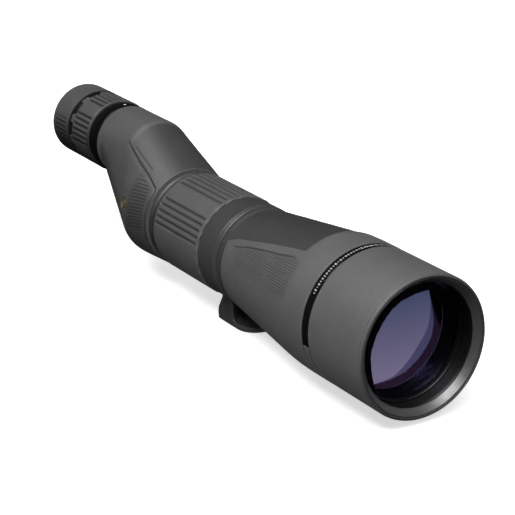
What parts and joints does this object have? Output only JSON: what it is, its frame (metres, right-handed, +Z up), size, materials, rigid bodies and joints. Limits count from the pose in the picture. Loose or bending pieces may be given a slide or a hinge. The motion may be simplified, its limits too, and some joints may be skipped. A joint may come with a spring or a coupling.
{
  "type": "spotting scope",
  "caption": "Straight zoom spotting scope with rubber armour, raised eyepiece, rotating tripod collar with foot, focus ring, twist-up eyecup and sliding sunshade.",
  "frame": {"origin": "flat bottom face of the tripod foot, below the middle of the tripod collar and the main optical axis", "axes": "+X along the optical axis out of the objective, -Y to the user's right, +Z up from the foot to the eyepiece"},
  "size_m": [0.482, 0.1115, 0.1217],
  "materials": {
    "armour_rubber": "finely textured satin rubber armour",
    "grip_rubber": "ribbed matt rubber",
    "magnesium": "dark grey painted cast magnesium",
    "black_metal": "black anodised",
    "gloss_black": "gloss black band",
    "brass": "turned brass",
    "steel": "turned steel",
    "felt": "black friction felt",
    "white_paint": "white index paint",
    "bronze": "satin bronze badge",
    "lens_glass": "multicoated optical glass with a violet reflection",
    "prism_glass": "polished optical glass"
  },
  "bodies": {
    "root": {"tripod_collar": "magnesium", "collar_liner": "felt", "tripod_socket": "brass", "lock_shoe": "brass"},
    "lock_knob": {"lock_screw": "steel", "lock_knob": "grip_rubber", "lock_knob_cap": "black_metal"},
    "barrel": {"barrel_tube": "magnesium", "barrel_armour": "armour_rubber", "collar_retaining_nut": "black_metal", "objective_cell": "black_metal", "name_band": "gloss_black", "sunshade_friction_strip": "felt", "objective_rear_lens": "lens_glass", "objective_rear_spacer": "black_metal", "objective_middle_lens": "lens_glass", "objective_front_spacer": "black_metal", "objective_front_lens": "lens_glass", "objective_retaining_ring": "black_metal", "front_baffle": "black_metal", "rear_baffle": "black_metal", "housing_badge": "bronze", "purge_plug": "black_metal", "housing_plug": "black_metal", "housing_armour": "armour_rubber", "prism_housing": "magnesium", "housing_adapter_ring": "black_metal", "prism_plate": "magnesium", "rear_prism": "prism_glass", "front_prism": "prism_glass", "rear_prism_strap": "steel", "front_prism_strap": "steel", "eyepiece_tube": "black_metal", "field_stop": "black_metal", "zoom_scale_ring": "gloss_black", "zoom_index_dot": "white_paint", "eye_lens_holder": "black_metal", "eye_lens": "lens_glass", "eye_lens_ring": "black_metal"},
    "sunshade": {"sunshade_tube": "magnesium", "sunshade_armour": "armour_rubber", "sunshade_front_ring": "armour_rubber"},
    "focus_ring": {"focus_sleeve": "black_metal", "focus_grip": "grip_rubber"},
    "focus_carriage": {"focus_cell": "black_metal", "focus_drive_pin": "steel", "focus_lens": "lens_glass", "focus_lens_ring": "black_metal"},
    "zoom_ring": {"zoom_cam_sleeve": "black_metal", "zoom_grip": "grip_rubber"},
    "zoom_front_group": {"zoom_front_cell": "black_metal", "zoom_front_lens": "lens_glass", "zoom_front_pin": "steel"},
    "zoom_rear_group": {"zoom_rear_cell": "black_metal", "zoom_rear_lens": "lens_glass", "zoom_rear_pin": "steel"},
    "eyecup_carrier": {"eyecup_carrier": "black_metal"},
    "eyecup": {"eyecup_sleeve": "black_metal", "eyecup": "grip_rubber"}
  },
  "joints": [
    {"name": "collar_rotation", "type": "hinge", "parent": "root", "child": "barrel", "pos_m": [0, 0, 0.055], "axis": [1, 0, 0], "continuous": true},
    {"name": "lock_knob_turn", "type": "hinge", "parent": "root", "child": "lock_knob", "pos_m": [-0.00675, 0, 0.055], "axis": [0, 0.9397, -0.342], "range_deg": [0, 360]},
    {"name": "focus_turn", "type": "hinge", "parent": "barrel", "child": "focus_ring", "pos_m": [-0.05, 0, 0.055], "axis": [1, 0, 0], "range_deg": [-135, 135]},
    {"name": "focus_travel", "type": "slide", "parent": "barrel", "child": "focus_carriage", "axis": [1, 0, 0], "range_m": [-0.008, 0.008]},
    {"name": "zoom_turn", "type": "hinge", "parent": "barrel", "child": "zoom_ring", "pos_m": [-0.226, 0, 0.092], "axis": [1, 0, 0], "range_deg": [0, 110]},
    {"name": "zoom_front_travel", "type": "slide", "parent": "barrel", "child": "zoom_front_group", "axis": [1, 0, 0], "range_m": [0, 0.006]},
    {"name": "zoom_rear_travel", "type": "slide", "parent": "barrel", "child": "zoom_rear_group", "axis": [1, 0, 0], "range_m": [-0.005, 0]},
    {"name": "eyecup_lift", "type": "slide", "parent": "barrel", "child": "eyecup_carrier", "axis": [-1, 0, 0], "range_m": [0, 0.012]},
    {"name": "eyecup_twist", "type": "hinge", "parent": "eyecup_carrier", "child": "eyecup", "pos_m": [-0.26, 0, 0.092], "axis": [1, 0, 0], "range_deg": [0, 270]},
    {"name": "sunshade_slide", "type": "slide", "parent": "barrel", "child": "sunshade", "axis": [1, 0, 0], "range_m": [0, 0.035]}
  ],
  "couplings": [
    {"joint": "focus_travel", "follows": "focus_turn", "m_per_rad": 0.0033953},
    {"joint": "zoom_front_travel", "follows": "zoom_turn", "m_per_rad": 0.0031252},
    {"joint": "zoom_rear_travel", "follows": "zoom_turn", "m_per_rad": -0.0026043},
    {"joint": "eyecup_lift", "follows": "eyecup_twist", "m_per_rad": 0.0025464}
  ]
}
